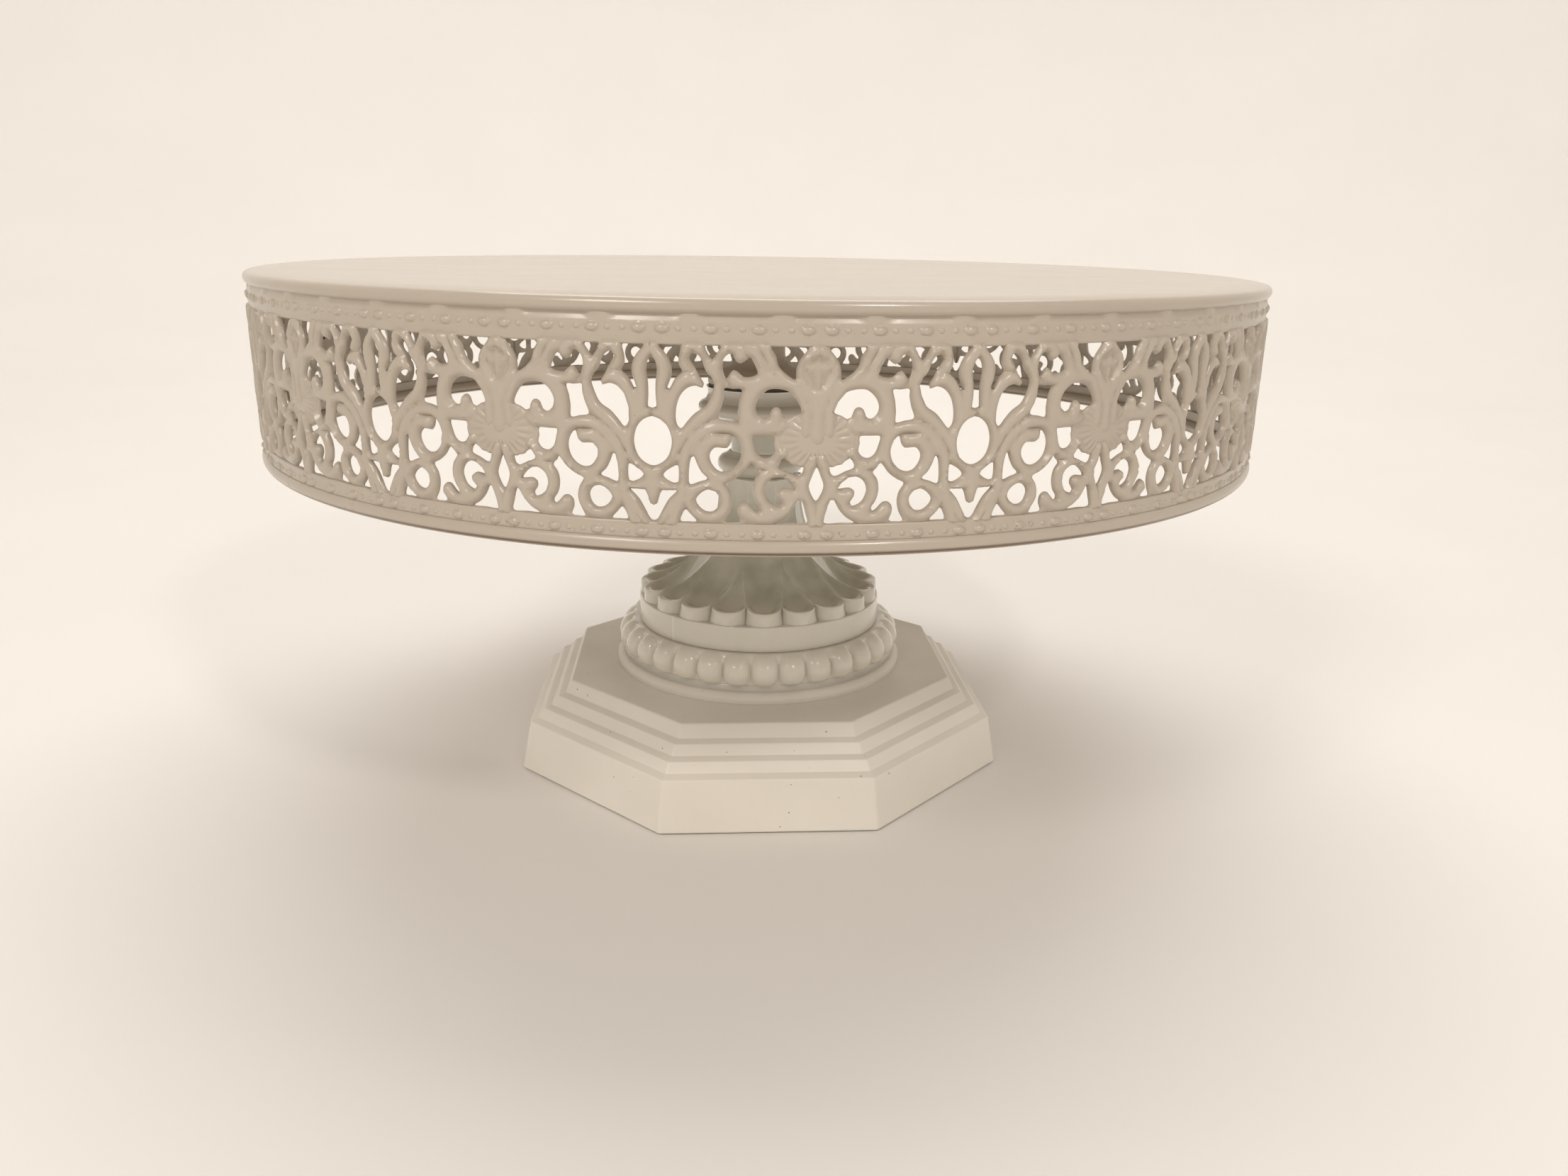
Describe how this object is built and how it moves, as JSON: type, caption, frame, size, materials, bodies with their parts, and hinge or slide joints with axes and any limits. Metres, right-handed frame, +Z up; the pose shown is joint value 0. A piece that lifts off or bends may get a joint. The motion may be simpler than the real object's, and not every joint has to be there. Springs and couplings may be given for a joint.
{
  "type": "cake stand",
  "caption": "Round pedestal cake stand: glossy cream metal plate with an openwork lace skirt, screwed onto a white beaded, leafed and stepped octagonal pedestal.",
  "frame": {"origin": "middle of the resting face, on the pedestal's axis", "axes": "+Z up along the pedestal's axis; -Y is the front, square to one flat of the octagonal foot"},
  "size_m": [0.305, 0.305, 0.159],
  "materials": {
    "plate_paint": "glossy warm cream enamel on stamped steel",
    "wire_steel": "plain drawn wire",
    "zinc_steel": "bright zinc plate",
    "gasket_rubber": "matte black",
    "column_plastic": "glossy, faintly translucent cool white",
    "foot_plastic": "satin warm white with fine specks",
    "cover_plastic": "matte ivory",
    "ballast_iron": "rough casting",
    "pad_foam": "soft matte pads"
  },
  "bodies": {
    "pedestal": {"octagon_foot": "foot_plastic", "gadroon_ring": "column_plastic", "leaf_column": "column_plastic", "knop_ring": "column_plastic", "capital": "column_plastic", "core_tube": "zinc_steel", "tie_rod": "zinc_steel", "coupling_nut": "zinc_steel", "foot_washer": "zinc_steel", "foot_lock_washer": "zinc_steel", "foot_nut": "zinc_steel", "ballast_ring": "ballast_iron", "base_cover": "cover_plastic", "cover_screws": "zinc_steel", "foot_pads": "pad_foam"},
    "gasket": {"neck_gasket": "gasket_rubber"},
    "plate": {"plate_top": "plate_paint", "rim_wire": "wire_steel", "lace_band": "plate_paint", "hem_wire": "wire_steel", "band_seam_clips": "plate_paint", "plate_stiffener": "plate_paint", "plate_stud": "zinc_steel", "plate_neck": "plate_paint", "neck_washer": "zinc_steel", "neck_nut": "zinc_steel"}
  },
  "joints": [
    {"name": "gasket_lift", "type": "slide", "parent": "pedestal", "child": "gasket", "axis": [0, 0, 1], "range_m": [0, 0.008]},
    {"name": "plate_turn", "type": "hinge", "parent": "gasket", "child": "plate", "pos_m": [0, 0, 0.123], "axis": [0, 0, 1], "range_deg": [0, 2880]}
  ],
  "couplings": [
    {"joint": "gasket_lift", "follows": "plate_turn", "m_per_rad": 0.00015915}
  ]
}
